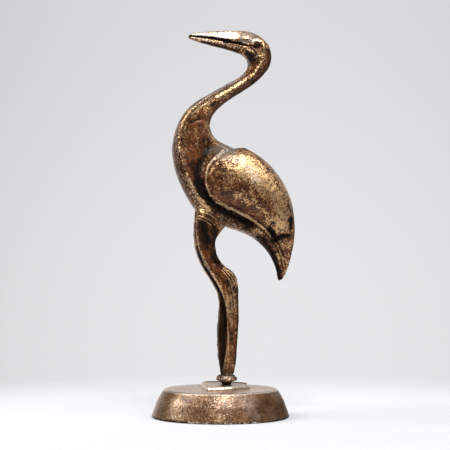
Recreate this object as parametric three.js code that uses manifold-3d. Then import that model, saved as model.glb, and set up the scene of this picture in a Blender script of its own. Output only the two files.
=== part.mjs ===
// Small brass figurine of a standing crane on a round tapered plinth.
// Millimetres, +Z up. The origin is the centre of the plinth's underside.
// The bird faces -X. Its left side is at -Y.
import * as THREE from 'three';
import { ParametricGeometry } from 'three/addons/geometries/ParametricGeometry.js';
import { mergeVertices } from 'three/addons/utils/BufferGeometryUtils.js';
import Module from 'manifold-3d';

const wasm = await Module();
wasm.setup();

// Plinth: a low tapered disc with a rounded top rim.
const plinth = {
  bottomRadius: 30.1,
  topRadius: 24.8,
  height: 12.3,
  rimRounding: 0.7,
  bulge: 0.6,
  segments: 80,
};

// Foot pad on the plinth: its top face in plan, from the near toe corner round to the far one.
// It rises a little towards the far side.
const pad = {
  height: 2,
  slope: 1.3,
  sunk: 0.5,
  tilt: 0.055,
  corners: [[-7.6, -11.2], [4.5, -7.6], [11.4, -3.4], [12.2, 2], [9, 6.2], [-4.6, 13.6]],
};
const padTopAt = (y) => plinth.height + pad.height + pad.tilt * y;

// Trunk from the tip of the beak to the tip of the tail. Each rib runs across the side view,
// from the throat, breast and belly outline to the crown, nape and back outline.
// Columns: front x and z, back x and z, half width.
const trunkRibs = [
  [-14.3, 166.4, -14.3, 167.5, 0.6],
  [-7.3, 163.8, -7, 169.2, 1.6],
  [0, 162.1, -0.2, 169.8, 2.4],
  [6.8, 160.5, 6.3, 170.1, 3.1],
  [10.8, 158.4, 13.6, 169.9, 3.8],
  [12.6, 155.7, 21, 165, 4.1],
  [12.3, 153, 22.9, 157.2, 3.7],
  [10.4, 150.7, 18.6, 150.1, 3.4],
  [6.4, 148.2, 10.8, 144.2, 3.2],
  [-0.5, 144.3, 3.2, 139.1, 3.3],
  [-6.9, 140.6, -2, 134.8, 3.7],
  [-13.2, 136.2, -4.9, 129.6, 4.4],
  [-18.1, 129.9, -4.7, 125.4, 5],
  [-20.6, 122, -1.8, 121, 5.5],
  [-21.1, 115, 5.4, 117.9, 6],
  [-19.8, 107.8, 14.6, 112.4, 6.4],
  [-16.5, 99.7, 23.4, 103, 6.8],
  [-11.3, 90.6, 28.6, 92.4, 6.9],
  [-4, 85, 30.2, 83.2, 6.4],
  [10, 81, 29.8, 76, 5.2],
  [16.8, 77.2, 29.2, 71, 4.2],
  [22.6, 71.1, 28.6, 66.2, 3.1],
  [25.4, 63.8, 27.6, 62, 1.9],
  [26.1, 59.6, 26.8, 59.3, 1],
];

// How the trunk's cross-section changes, as one row every few ribs.
// Columns: rib number, half width of the front face, depth of the front ridge in mm,
// half width of the hollow side, half width at the back ridge, depth of the back bevel in mm,
// half width of the back edge. Half widths are fractions of the rib's own.
const trunkSections = [
  [0, 0.4, 0.3, 0.95, 1, 0.3, 0.4],
  [3, 0.3, 2.6, 0.9, 1, 4, 0.25],
  [5, 0.6, 1.5, 1, 1, 3, 0.4],
  [8, 0.8, 0.5, 0.97, 1, 2.8, 0.2],
  [11, 0.6, 1.1, 0.88, 0.95, 3, 0.25],
  [14, 0.35, 1.9, 0.72, 1, 5, 0.3],
  [16, 0.35, 3.4, 0.78, 1, 6, 0.25],
  [18, 0.35, 7, 0.9, 1, 6, 0.25],
  [21, 0.4, 1.6, 0.95, 1, 2.4, 0.3],
  [23, 0.6, 0.2, 1, 1, 0.2, 0.6],
];

// Folded wing, a domed leaf from the shoulder to the tail.
// Columns: rim x and z on its front and lower edge, back x and z, rim distance from the
// middle of the bird, height of the dome above the rim.
const wingRibs = [
  [4.6, 117.6, 9.8, 118.3, 3, 0.5],
  [-4.2, 113.6, 13.4, 116.7, 6.9, 3.2],
  [-8, 107, 19, 112.8, 7.9, 4.9],
  [-8.3, 101, 24.6, 107.5, 8.4, 5.6],
  [-4.7, 95.3, 28.8, 101.2, 8.5, 5.6],
  [2.9, 91.2, 31.5, 94.4, 8.2, 5.2],
  [10.5, 87.6, 32.9, 87, 7.5, 4.4],
  [17.3, 83.3, 32.9, 80, 6.6, 3.4],
  [22.6, 78, 32, 73.4, 5.3, 2.4],
  [26.2, 72.2, 30.7, 67.6, 3.8, 1.4],
  [27, 65.6, 29.1, 63.2, 2.4, 0.6],
  [26.6, 60.2, 27.1, 59.8, 1.2, 0.1],
];
const wingLip = { width: 1.3, height: 0.35, depth: 1.2 };
// Behind, the two wings meet in a shallow groove.
const wingMeeting = { groove: 0.5, overlap: 0.3 };

// Leg from inside the body down into the foot. The far leg bows forward of the near one.
// Columns: front x and z, back x and z, inner and outer distance from the middle of the bird,
// how far the far leg stands forward.
const legRibs = [
  [-11, 92.5, 4, 88.5, -0.6, 6.2, 0],
  [-11.5, 85.5, 1.4, 82.9, -0.6, 5.6, 0],
  [-11.1, 80, -2.7, 78, -0.5, 5.2, 0],
  [-10.5, 74.5, -2.8, 73.4, -0.4, 5, 0.4],
  [-8.6, 69.3, -2.4, 70.6, -0.3, 4.9, 0.8],
  [-5.7, 64, 0.6, 66.6, -0.2, 4.9, 1.1],
  [-2.7, 59.2, 5.4, 62.9, -0.1, 5, 0.9],
  [-0.4, 55, 6.9, 58.3, 0.5, 5, 0.7],
  [1.2, 50.5, 7.3, 52.6, 1.1, 5, 1.1],
  [2.2, 44, 7.4, 44.8, 1.2, 5, 2.4],
  [2.3, 37.5, 7, 37.8, 1.2, 4.9, 3],
  [1.9, 29.5, 6.5, 30, 1.1, 4.8, 2.5],
  [1.1, 24, 6.1, 24.4, 0.9, 4.6, 1.3],
  [0.5, 18, 5.4, 18, 0.5, 4.2, 0],
];
const legHollow = 0.45;

// Foot: a flared lump round both ankles on a short undercut stem, turned about its own axis.
const foot = {
  centreX: 2.7,
  acrossScale: 1.05,
  profile: [[0, 0], [2.7, 0], [2.9, 0.9], [4.7, 1.7], [5.2, 2.5], [5, 3.4], [3.9, 4.6], [0, 5.8]],
  segments: 20,
};

const brass = {
  bird: { color: 0x8a6a3c, roughness: 0.42, metalness: 1 },
  plinth: { color: 0x9c7c55, roughness: 0.38, metalness: 1 },
};

const stepsPerRib = 3;
const mergeWithin = 1e-4;

// Catmull-Rom through every column of a table, with t from 0 at the first row to 1 at the last.
function tableAt(rows, t) {
  const place = t * (rows.length - 1);
  const first = Math.min(Math.floor(place), rows.length - 2);
  const f = place - first;
  const row = (i) => rows[THREE.MathUtils.clamp(i, 0, rows.length - 1)];
  const [a, b, c, d] = [row(first - 1), row(first), row(first + 1), row(first + 2)];
  return b.map((value, k) => {
    const slopeIn = (c[k] - a[k]) / 2;
    const slopeOut = (d[k] - value) / 2;
    const rise = c[k] - value;
    return value + f * slopeIn + f * f * (3 * rise - 2 * slopeIn - slopeOut)
      + f * f * f * (slopeIn + slopeOut - 2 * rise);
  });
}

// The trunk's section values at a rib number, eased between the rows of the section table.
function sectionAt(rib) {
  const next = trunkSections.findIndex((row) => row[0] >= rib && row[0] > 0);
  const to = trunkSections[next];
  const from = trunkSections[next - 1];
  const f = THREE.MathUtils.smoothstep(rib, from[0], to[0]);
  return to.map((value, k) => THREE.MathUtils.lerp(from[k], value, f));
}

// A closed solid from a geometry, with its shared vertices merged and its slivers dropped.
function solidOf(geometry) {
  const bare = geometry.index ? geometry.toNonIndexed() : geometry.clone();
  bare.deleteAttribute('normal');
  bare.deleteAttribute('uv');
  const merged = mergeVertices(bare, mergeWithin);
  const triVerts = [];
  for (let i = 0; i < merged.index.count; i += 3) {
    const corner = [0, 1, 2].map((k) => merged.index.getX(i + k));
    if (new Set(corner).size === 3) triVerts.push(...corner);
  }
  return new wasm.Manifold(new wasm.Mesh({
    numProp: 3,
    vertProperties: new Float32Array(merged.attributes.position.array),
    triVerts: new Uint32Array(triVerts),
  }));
}

// The geometry of a finished solid.
function geometryOf(solid) {
  const mesh = solid.getMesh();
  const geometry = new THREE.BufferGeometry();
  geometry.setAttribute('position', new THREE.BufferAttribute(mesh.vertProperties, 3));
  geometry.setIndex(new THREE.BufferAttribute(mesh.triVerts, 1));
  geometry.computeVertexNormals();
  return geometry;
}

// A solid through closed rings, from t at 0 to t at 1. Every ring has the same number of points.
// The first and the last ring are closed to their own middles.
function loft(ringAt, rings) {
  const around = ringAt(0).length;
  const sections = Array.from({ length: rings }, (_, i) => ringAt(i / (rings - 1)));
  const middle = (ring) => ring.reduce((sum, p) => sum.add(p), new THREE.Vector3())
    .divideScalar(ring.length);
  const caps = [middle(sections[0]), middle(sections[rings - 1])];
  const surface = (u, v, target) => {
    const i = Math.round(v * (rings + 1)) - 1;
    if (i < 0) return target.copy(caps[0]);
    if (i >= rings) return target.copy(caps[1]);
    return target.copy(sections[i][Math.round(u * around) % around]);
  };
  return solidOf(new ParametricGeometry(surface, around, rings + 1));
}

// A solid through a table of ribs.
function loftAlong(ribs, ringAt) {
  return loft(ringAt, stepsPerRib * (ribs.length - 1) + 1);
}

// The trunk's ring at t: down the left side from front to back and up the right side.
function trunkRing(t) {
  const [frontX, frontZ, backX, backZ, half] = tableAt(trunkRibs, t);
  const rib = t * (trunkRibs.length - 1);
  const [, face, ridgeDepth, hollow, backRidge, bevel, edge] = sectionAt(rib);
  const length = Math.hypot(backX - frontX, backZ - frontZ);
  const side = length - ridgeDepth - bevel;
  // columns: mm behind the front outline, share of the half width
  const profile = [
    [0, face],
    [ridgeDepth * 0.35, THREE.MathUtils.lerp(face, 1, 0.7)],
    [ridgeDepth, 1],
    [ridgeDepth + side * 0.2, THREE.MathUtils.lerp(1, hollow, 0.75)],
    [ridgeDepth + side * 0.5, hollow],
    [ridgeDepth + side * 0.8, THREE.MathUtils.lerp(hollow, backRidge, 0.7)],
    [length - bevel, backRidge],
    [length - bevel * 0.4, THREE.MathUtils.lerp(edge, backRidge, 0.55)],
    [length, edge],
  ];
  const point = (along, width, hand) => new THREE.Vector3(
    THREE.MathUtils.lerp(frontX, backX, along / length),
    hand * width * half,
    THREE.MathUtils.lerp(frontZ, backZ, along / length),
  );
  const left = profile.map(([along, width]) => point(along, width, -1));
  const right = profile.map(([along, width]) => point(along, width, 1)).reverse();
  return [...left, ...right].reverse();
}

// The wing's ring at t, for hand -1 on the left and 1 on the right.
function wingRing(t, hand) {
  const [rimX, rimZ, backX, backZ, rim, dome] = tableAt(wingRibs, t);
  const length = Math.hypot(backX - rimX, backZ - rimZ);
  const lip = Math.min(wingLip.width / length, 0.2);
  const lipHeight = wingLip.height * Math.min(1, dome);
  // columns: share of the way from the rim to the back, mm from the middle of the bird
  const profile = [
    [0, rim - wingLip.depth],
    [0, rim],
    [lip * 0.5, rim + lipHeight],
    [lip, rim + dome * 0.05],
    [lip + 0.07, rim + dome * 0.4],
    [0.24, rim + dome * 0.78],
    [0.42, rim + dome],
    [0.6, rim + dome * 0.96],
    [0.76, rim + dome * 0.66],
    [0.87, rim + dome * 0.15],
    [0.94, rim * 0.74],
    [0.98, rim * 0.46],
    [1, rim * 0.22],
    [1 - wingMeeting.groove / length, -wingMeeting.overlap],
    [0.5, -wingMeeting.overlap],
    [0.12, -wingMeeting.overlap],
  ];
  const ring = profile.map(([s, away]) => new THREE.Vector3(
    THREE.MathUtils.lerp(rimX, backX, s),
    hand * away,
    THREE.MathUtils.lerp(rimZ, backZ, s),
  ));
  return hand < 0 ? ring.reverse() : ring;
}

// The leg's ring at t. Its outer side is slightly hollow between two rubbed ridges.
function legRing(t, hand) {
  const [frontX, frontZ, backX, backZ, inner, outer, forward] = tableAt(legRibs, t);
  const stagger = hand < 0 ? 0 : forward;
  const width = outer - inner;
  // columns: share of the way from front to back, mm from the middle of the bird
  const profile = [
    [0.1, inner],
    [0, inner + width * 0.3],
    [0.02, inner + width * 0.75],
    [0.14, outer],
    [0.34, outer - legHollow * 0.8],
    [0.55, outer - legHollow],
    [0.75, outer - legHollow * 0.5],
    [0.88, outer - 0.1],
    [1, inner + width * 0.7],
    [1, inner + width * 0.3],
    [0.92, inner],
    [0.5, inner],
  ];
  const ring = profile.map(([s, away]) => new THREE.Vector3(
    THREE.MathUtils.lerp(frontX, backX, s) - stagger,
    hand * away,
    THREE.MathUtils.lerp(frontZ, backZ, s),
  ));
  return hand < 0 ? ring.reverse() : ring;
}

// The foot lump with its stem, standing on the pad.
function footSolid() {
  const outline = foot.profile.map(([radius, height]) => new THREE.Vector2(radius, height));
  const geometry = new THREE.LatheGeometry(outline, foot.segments);
  geometry.rotateX(Math.PI / 2);
  geometry.scale(1, foot.acrossScale, 1);
  geometry.translate(foot.centreX, 0, 0);
  const position = geometry.attributes.position;
  for (let i = 0; i < position.count; i += 1) {
    position.setZ(i, position.getZ(i) + padTopAt(position.getY(i)));
  }
  return solidOf(geometry);
}

// The whole bird as one casting.
function craneGeometry() {
  let crane = loftAlong(trunkRibs, trunkRing).add(footSolid());
  for (const hand of [-1, 1]) {
    crane = crane.add(loftAlong(wingRibs, (t) => wingRing(t, hand)));
    crane = crane.add(loftAlong(legRibs, (t) => legRing(t, hand)));
  }
  return geometryOf(crane);
}

// The plinth and its foot pad as one casting.
function plinthGeometry() {
  const { bottomRadius, topRadius, height, rimRounding, bulge, segments } = plinth;
  const side = new THREE.Vector2((bottomRadius + topRadius) / 2 + bulge, height / 2);
  const rim = [0, 0.25, 0.5, 0.75, 1].map((f) => new THREE.Vector2(
    topRadius - rimRounding + rimRounding * Math.cos(f * Math.PI / 2),
    height - rimRounding + rimRounding * Math.sin(f * Math.PI / 2),
  ));
  const outline = [new THREE.Vector2(0, 0), new THREE.Vector2(bottomRadius, 0), side, ...rim,
    new THREE.Vector2(0, height)];
  const disc = new THREE.LatheGeometry(outline, segments);
  disc.rotateX(Math.PI / 2);

  // the pad's foot is its top face spread outwards by the slope, sunk a little into the disc
  const centre = pad.corners.reduce(([x, y], [cx, cy]) => [x + cx, y + cy], [0, 0])
    .map((sum) => sum / pad.corners.length);
  const ringAt = (t) => {
    const spread = pad.slope * (1 - t) * (pad.height + pad.sunk) / pad.height;
    return pad.corners.map(([x, y]) => {
      const away = Math.hypot(x - centre[0], y - centre[1]);
      const grow = 1 + spread / away;
      return new THREE.Vector3(
        centre[0] + (x - centre[0]) * grow,
        centre[1] + (y - centre[1]) * grow,
        THREE.MathUtils.lerp(height - pad.sunk, padTopAt(y), t),
      );
    });
  };
  return geometryOf(solidOf(disc).add(loft(ringAt, 2)));
}

function part(name, geometry, finish) {
  const mesh = new THREE.Mesh(geometry, new THREE.MeshStandardMaterial(finish));
  mesh.name = name;
  return mesh;
}

const group = new THREE.Group();
group.add(part('crane', craneGeometry(), brass.bird));
group.add(part('plinth', plinthGeometry(), brass.plinth));

export default group;
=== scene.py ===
import math

import bmesh
import bpy
import numpy as np
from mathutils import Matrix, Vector, noise


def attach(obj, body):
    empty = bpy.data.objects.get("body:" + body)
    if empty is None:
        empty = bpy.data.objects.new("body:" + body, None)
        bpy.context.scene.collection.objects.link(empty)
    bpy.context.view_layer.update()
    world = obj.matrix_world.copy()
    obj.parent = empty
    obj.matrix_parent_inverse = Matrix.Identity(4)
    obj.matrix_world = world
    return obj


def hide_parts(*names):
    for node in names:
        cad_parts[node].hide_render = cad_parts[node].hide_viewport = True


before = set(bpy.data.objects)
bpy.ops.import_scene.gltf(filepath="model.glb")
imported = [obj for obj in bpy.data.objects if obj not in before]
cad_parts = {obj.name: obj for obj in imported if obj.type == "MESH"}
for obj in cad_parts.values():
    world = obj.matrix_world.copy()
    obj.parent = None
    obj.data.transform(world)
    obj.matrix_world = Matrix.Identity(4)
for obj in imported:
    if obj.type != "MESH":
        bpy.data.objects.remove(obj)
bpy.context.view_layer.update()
print("frame loaded")

# Lengths in the tables are millimetres, +Z up, the bird facing -X with its left side at -Y.
mm = 0.001

camera = {
    "place": (-116.99, -559.91, 64.24),
    "pitch": 91.98,
    "turn": -12.0,
    "lens": 104.0,
    "sensor": 36.0,
}


# Modelling steps shared by the pieces

def clearSelection():
    for thing in list(bpy.context.selected_objects):
        thing.select_set(False)


def pick(piece):
    clearSelection()
    piece.select_set(True)
    bpy.context.view_layer.objects.active = piece


def applyModifier(piece, kind, **settings):
    pick(piece)
    bpy.ops.object.modifier_add(type=kind)
    modifier = piece.modifiers[-1]
    for name, value in settings.items():
        setattr(modifier, name, value)
    bpy.ops.object.modifier_apply(modifier=modifier.name)


def setRing(piece, ring):
    # the selected ring takes its places, in the order it was drawn in
    mesh = bmesh.from_edit_mesh(piece.data)
    chosen = [v for v in mesh.verts if v.select]
    for vert, place in zip(chosen, ring):
        vert.co = Vector(place) * mm
    bmesh.update_edit_mesh(piece.data)


def sweepRings(name, rings, creases=None):
    # a circle is set on the first ring, pulled out from ring to ring, and closed at both ends
    clearSelection()
    count = len(rings[0])
    bpy.ops.mesh.primitive_circle_add(vertices=count, radius=mm)
    piece = bpy.context.object
    piece.name = name
    bpy.ops.object.mode_set(mode="EDIT")
    bpy.ops.mesh.select_mode(type="VERT")
    bpy.ops.mesh.select_all(action="SELECT")
    setRing(piece, rings[0])
    for ring in rings[1:]:
        bpy.ops.mesh.extrude_region_move()
        setRing(piece, ring)
    bpy.ops.mesh.edge_face_add()
    bpy.ops.mesh.select_all(action="DESELECT")
    mesh = bmesh.from_edit_mesh(piece.data)
    mesh.verts.ensure_lookup_table()
    for k in range(count):
        mesh.verts[k].select = True
    mesh.select_flush(True)
    bmesh.update_edit_mesh(piece.data)
    bpy.ops.mesh.edge_face_add()
    bpy.ops.mesh.select_all(action="SELECT")
    bpy.ops.mesh.normals_make_consistent(inside=False)
    if creases:
        mesh = bmesh.from_edit_mesh(piece.data)
        layer = mesh.edges.layers.float.new("crease_edge")
        for edge in mesh.edges:
            one, other = (v.index for v in edge.verts)
            if one % count == other % count and one % count in creases:
                edge[layer] = creases[one % count]
        bmesh.update_edit_mesh(piece.data)
    bpy.ops.object.mode_set(mode="OBJECT")
    return piece


def tableAt(rows, share):
    # a smooth curve through every column of a table, share 0 at its first row and 1 at its last
    table = np.array(rows, float)
    place = share * (len(table) - 1)
    first = min(int(place), len(table) - 2)
    f = place - first
    a, b, c, d = (table[min(max(first + k, 0), len(table) - 1)] for k in (-1, 0, 1, 2))
    slopeIn = (c - a) / 2
    slopeOut = (d - b) / 2
    rise = c - b
    bend = 3 * rise - 2 * slopeIn - slopeOut
    return b + f * slopeIn + f**2 * bend + f**3 * (slopeIn + slopeOut - 2 * rise)


def blendTo(a, b, share):
    return a + (b - a) * share


def ease(value, low, high):
    share = np.clip((value - low) / (high - low), 0, 1)
    return share * share * (3 - 2 * share)


def readPoints(piece):
    spots = np.empty(len(piece.data.vertices) * 3, np.float32)
    piece.data.vertices.foreach_get("co", spots)
    return spots.reshape(-1, 3).astype(float) / mm


def readNormals(piece):
    ways = np.empty(len(piece.data.vertices) * 3, np.float32)
    piece.data.vertex_normals.foreach_get("vector", ways)
    return ways.reshape(-1, 3).astype(float)


def writePoints(piece, spots):
    piece.data.vertices.foreach_set("co", (spots * mm).astype(np.float32).ravel())
    piece.data.update()


def readEdges(piece):
    ends = np.empty(len(piece.data.edges) * 2, np.int32)
    piece.data.edges.foreach_get("vertices", ends)
    return ends.reshape(-1, 2)


def sumAtPoints(edges, count, first=None, second=None):
    # what each edge gives to its two ends, or the number of its edges at each point
    return np.bincount(edges[:, 0], first, count) + np.bincount(edges[:, 1], second, count)


def evenOut(values, edges, times):
    # each value moves to the mean of its neighbours, a number of times
    one, other = edges.T
    count = len(values)
    share = np.maximum(sumAtPoints(edges, count), 1)
    flat = values.reshape(count, -1)
    for _ in range(times):
        total = [
            sumAtPoints(edges, count, flat[other, k], flat[one, k]) for k in range(flat.shape[1])
        ]
        flat = np.stack(total, 1) / share[:, None]
    return flat.reshape(values.shape)


def roughField(spots, size, seed, octaves=3):
    # smooth lumps from about -1 to 1, of that size in millimetres
    shift = Vector((seed * 17.3, seed * 5.1, seed * 9.7))
    return np.array([
        noise.fractal(Vector(spot) / size + shift, 1.0, 2.0, octaves) for spot in spots.tolist()
    ])


def nearLine(spots, line):
    # each spot's distance to a drawn line, and how far along the line the nearest place lies
    best = np.full(len(spots), 1e9)
    along = np.zeros(len(spots))
    points = np.array(line, float)
    if len(points) == 1:
        return np.hypot(*(spots - points[0]).T), along
    lengths = np.hypot(*np.diff(points, axis=0).T)
    total = lengths.sum()
    walked = 0.0
    for start, end, length in zip(points[:-1], points[1:], lengths):
        way = (end - start) / length
        reach = np.clip((spots - start) @ way, 0, length)
        away = np.hypot(*(spots - start - reach[:, None] * way).T)
        closer = away < best
        best[closer] = away[closer]
        along[closer] = (walked + reach[closer]) / total
        walked += length
    return best, along


def sideView(spots):
    # where a spot shows on the bird's middle plane from the camera, its far side as its near one
    eye = np.array(camera["place"])
    near = np.stack([spots[:, 0], -np.abs(spots[:, 1]), spots[:, 2]], 1)
    share = eye[1] / (eye[1] - near[:, 1])
    return (eye + (near - eye) * share[:, None])[:, [0, 2]]


def addLumps(spots, ways, lumps, where):
    # lumps left by the casting, each kind with its size, height and seed
    for size, height, seed in lumps:
        spots += ways * (roughField(spots, size, seed) * height * where)[:, None]


def fuse(parts, voxel):
    clearSelection()
    for part in parts:
        part.select_set(True)
    bpy.context.view_layer.objects.active = parts[0]
    bpy.ops.object.join()
    applyModifier(parts[0], "REMESH", mode="VOXEL", voxel_size=voxel * mm)


# Painting steps shared by the pieces: each mask is a value from 0 to 1 at every point, and some of
# them paint highlights, sheen and shade.
# A stroke's columns: half width at the start and at the end, strength, line.

paintKit = {
    "kinds": ("polish", "rubbed", "brown", "slate", "grain", "glint", "grime"),
    # the torn edges of a stroke: share of its half width, at most so many millimetres
    "torn": (0.55, 0.8),
    "tornSizes": (1.6, 5.0),
    # shares of the half width between which a stroke fades
    "strokeFade": (1.5, 0.3),
    # turns per millimetre between which the surface counts as a ridge or a hollow
    "ridge": (0.12, 0.8),
    "hollow": (0.1, 0.8),
}


def bendOf(spots, ways, edges):
    # how sharply the surface bends at each point, in turns per millimetre, more than 0 on a ridge
    one, other = edges.T
    step = spots[other] - spots[one]
    turn = ways[other] - ways[one]
    bend = (step * turn).sum(1) / np.maximum((step * step).sum(1), 1e-6)
    count = len(spots)
    total = sumAtPoints(edges, count, bend, bend)
    return evenOut(total / np.maximum(sumAtPoints(edges, count), 1), edges, 2)


def tornEdges(spots, seed):
    fine, coarse = paintKit["tornSizes"]
    return roughField(spots, fine, seed, 3) + 0.5 * roughField(spots, coarse, seed + 1, 2)


def strokeMask(seen, ragged, rows):
    clear = np.ones(len(seen))
    tornShare, tornMost = paintKit["torn"]
    for start, end, strength, line in rows:
        away, along = nearLine(seen, line)
        half = blendTo(start, end, along)
        share = (away + np.minimum(tornShare * half, tornMost) * ragged) / half
        clear *= 1 - strength * ease(share, *paintKit["strokeFade"])
    return 1 - clear


def raiseMask(masks, kind, values):
    masks[kind] = np.maximum(masks[kind], values)


def setMasks(piece, masks):
    # the masks go to the mesh as attributes, with those of its ridges and hollows
    bend = bendOf(readPoints(piece), readNormals(piece), readEdges(piece))
    masks["ridge"] = ease(bend, *paintKit["ridge"])
    masks["hollow"] = ease(-bend, *paintKit["hollow"])
    for kind, values in masks.items():
        layer = piece.data.attributes.new(kind, "FLOAT", "POINT")
        layer.data.foreach_set("value", values.astype(np.float32))


# Plinth: a tapered disc with a soft rim and a low foot pad, one casting

plinth = {
    "height": 12.3,
    "points": 128,
    # columns: radius and height
    "rings": [
        [26, 0],
        [29.2, 0],
        [29.9, 0.25],
        [30.1, 0.8],
        [29.1, 3.6],
        [27.9, 6.8],
        [26.5, 9.6],
        [25.3, 11.5],
        [24.75, 12.05],
        [24.0, 12.3],
        [12, 12.3],
    ],
    "padHeight": 1.8,
    "padTilt": 0.03,
    "padCorners": [[-7.6, -11.2], [4.5, -7.6], [11.4, -3.4], [12.2, 2], [9, 6.2], [-5.9, 13.2]],
    "padPointsPerSide": 4,
    # columns: distance out from the corners, height above the plinth's top, the same for the pad's
    "padRings": [
        (1.3, -0.5, None),
        (1.3, 0, None),
        (0.25, None, -0.25),
        (0, None, 0),
        (-0.5, None, 0),
    ],
    "voxel": 0.36,
    # lumps left by the casting: size, height, seed
    "lumps": [(9.0, 0.1, 4), (2.4, 0.04, 5)],
    # a seam left standing along the far edge of the pad: half width, height, line in plan
    "padSeam": (0.8, 0.3, [[-5.4, 12.6], [8.6, 5.8], [11.8, 1.8]]),
    # the far left corner of the pad falls away: place in plan, width, drop
    "padFall": ((-6.6, 13.4), 2.6, 0.9),
    # chips along the lower edge: size, seed, height of an even and of an uneven part, most
    "edgeChips": (1.8, 8, 0.1, 0.7, 0.5),
    # heights between which a zone fades in
    "heights": {
        "side": (0.2, 1.0),
        "lowEdge": (1.2, 0.2),
        "chips": (1.0, 0.5),
        "gaps": (1.3, 0.6),
        "rim": (11.3, 11.9),
        "flatTop": (12.9, 12.5),
        "padFoot": (12.4, 13.0),
        "padWall": (12.5, 13.5),
        "padTop": (13.2, 13.8),
        "padSheen": (13.4, 13.8),
    },
    # radii between which the lower edge and the rim fade in
    "edgeReach": (27.5, 29.3),
    "rimReach": (23, 23.8),
    # upward parts of the surface's direction between which it counts as a side, or as level
    "steep": (0.95, 0.7),
    "level": (0.7, 0.9),
    # paint on top, drawn in plan, x and y
    "topPaint": {
        # a painted highlight and a painted grey sheen along the pad's near bevel, and a dark line
        # along its far edge
        "polish": [
            (1, 1, 0.9, [[-7.8, -11], [4.7, -7.6], [11.2, -3.6]]),
        ],
        "slate": [
            (1.2, 1.2, 0.4, [[-8.4, -12], [4.9, -8.8], [12, -4.4]]),
        ],
        "grime": [
            (1.2, 1, 1, [[-6.6, 12.4], [-5.2, 12.8], [8.6, 5.8], [11.8, 1.8]]),
        ],
    },
    # paint on the side, drawn by the way round from the front, in degrees, and the height
    "sidePaint": {
        "brown": [
            (6, 7, 0.9, [[22, 8], [72, 5]]),
            (4, 5, 0.55, [[-22, 6], [6, 6]]),
            (1.2, 1.2, 0.5, [[-26, 10.6], [-12, 10.8]]),
            (1.2, 1.2, 0.5, [[2, 10.4], [10, 10.8]]),
            (1, 1, 0.8, [[-84, 10.2], [-62, 10.4], [-44, 10.2]]),
            (3, 3, 0.6, [[22, 9], [32, 4]]),
            (3, 3, 0.4, [[-36, 8], [-30, 4]]),
            (2.2, 2.2, 0.35, [[-20, 3], [-5, 3.6], [8, 3]]),
            (2, 2, 0.35, [[14, 4], [18, 9]]),
        ],
        # the upright patches at -56 and -18 to -8 degrees are painted highlights of the lamps, the
        # line just under the top a painted highlight on the rim
        "rubbed": [
            (2.6, 2.8, 0.25, [[-18, 8], [-8, 9.5]]),
            (3.6, 3.6, 0.6, [[-56, 8], [-54, 4]]),
            (0.5, 0.5, 0.6, [[-60, 12], [-20, 12.1], [30, 12.1]]),
            (0.5, 0.5, 0.6, [[-30, 0.7], [-10, 0.5], [20, 0.5]]),
        ],
        "slate": [
            (3.6, 3.6, 0.5, [[8, 9], [14, 6], [18, 3]]),
        ],
        # painted satin highlights of the lamps, at -56, 9 to 11 and -22 to 4 degrees
        "polish": [
            (3, 3, 0.35, [[-56, 8], [-54, 4]]),
            (1.6, 1.4, 0.4, [[9, 9], [11, 5]]),
            (4, 4, 0.1, [[-22, 7], [4, 6]]),
        ],
        "glint": [
            (6, 6, 0.15, [[-24, 6], [6, 6]]),
        ],
        "grain": [
            (5, 5, 0.9, [[-58, 8], [-44, 5]]),
            (8, 8, 1, [[18, 8], [48, 6], [80, 5]]),
            (5, 5, 0.8, [[-96, 7], [-82, 5]]),
        ],
        # darker on the right side, and dark lines along the lower edge
        "grime": [
            (6, 8, 0.7, [[27, 7], [50, 5], [80, 5]]),
            (0.6, 0.4, 0.9, [[-90, 0.4], [-60, 0.4], [-40, 0.4]]),
            (0.4, 0.4, 0.7, [[24, 0.4], [50, 0.5], [75, 0.6]]),
        ],
    },
    # degrees to millimetres round the side
    "round": 0.49,
    # strength of the polish and painted light: a painted reflection of the pale backdrop on the
    # top, more of it near the front, and on the pad, a painted highlight on the rim, and worn metal
    # on the chips
    "polish": {"top": 0.7, "front": 0.2, "pad": 0.8, "rim": 0.95, "chips": 0.9},
    "front": (4, 16),
    # bright chips and dark gaps along the lower edge: size, seed, values between which they fade
    "chipPatches": (1.1, 23, 0.1, 0.35),
    "gapPatches": (1.5, 24, 0.05, 0.3),
}


def padTopAt(y):
    return plinth["height"] + plinth["padHeight"] + plinth["padTilt"] * y


def zone(spots, name):
    return ease(spots[:, 2], *plinth["heights"][name])


def padRings():
    corners = plinth["padCorners"]
    perSide = plinth["padPointsPerSide"]
    outline = [
        blendTo(np.array(start), np.array(end), k / perSide)
        for start, end in zip(corners, corners[1:] + corners[:1])
        for k in range(perSide)
    ]
    middle = np.mean(corners, axis=0)
    rings = []
    for out, aboveTop, abovePad in plinth["padRings"]:
        ring = []
        for spot in outline:
            away = spot - middle
            x, y = middle + away * (1 + out / np.hypot(*away))
            z = padTopAt(y) + abovePad if aboveTop is None else plinth["height"] + aboveTop
            ring.append((x, y, z))
        rings.append(ring)
    return rings


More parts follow.
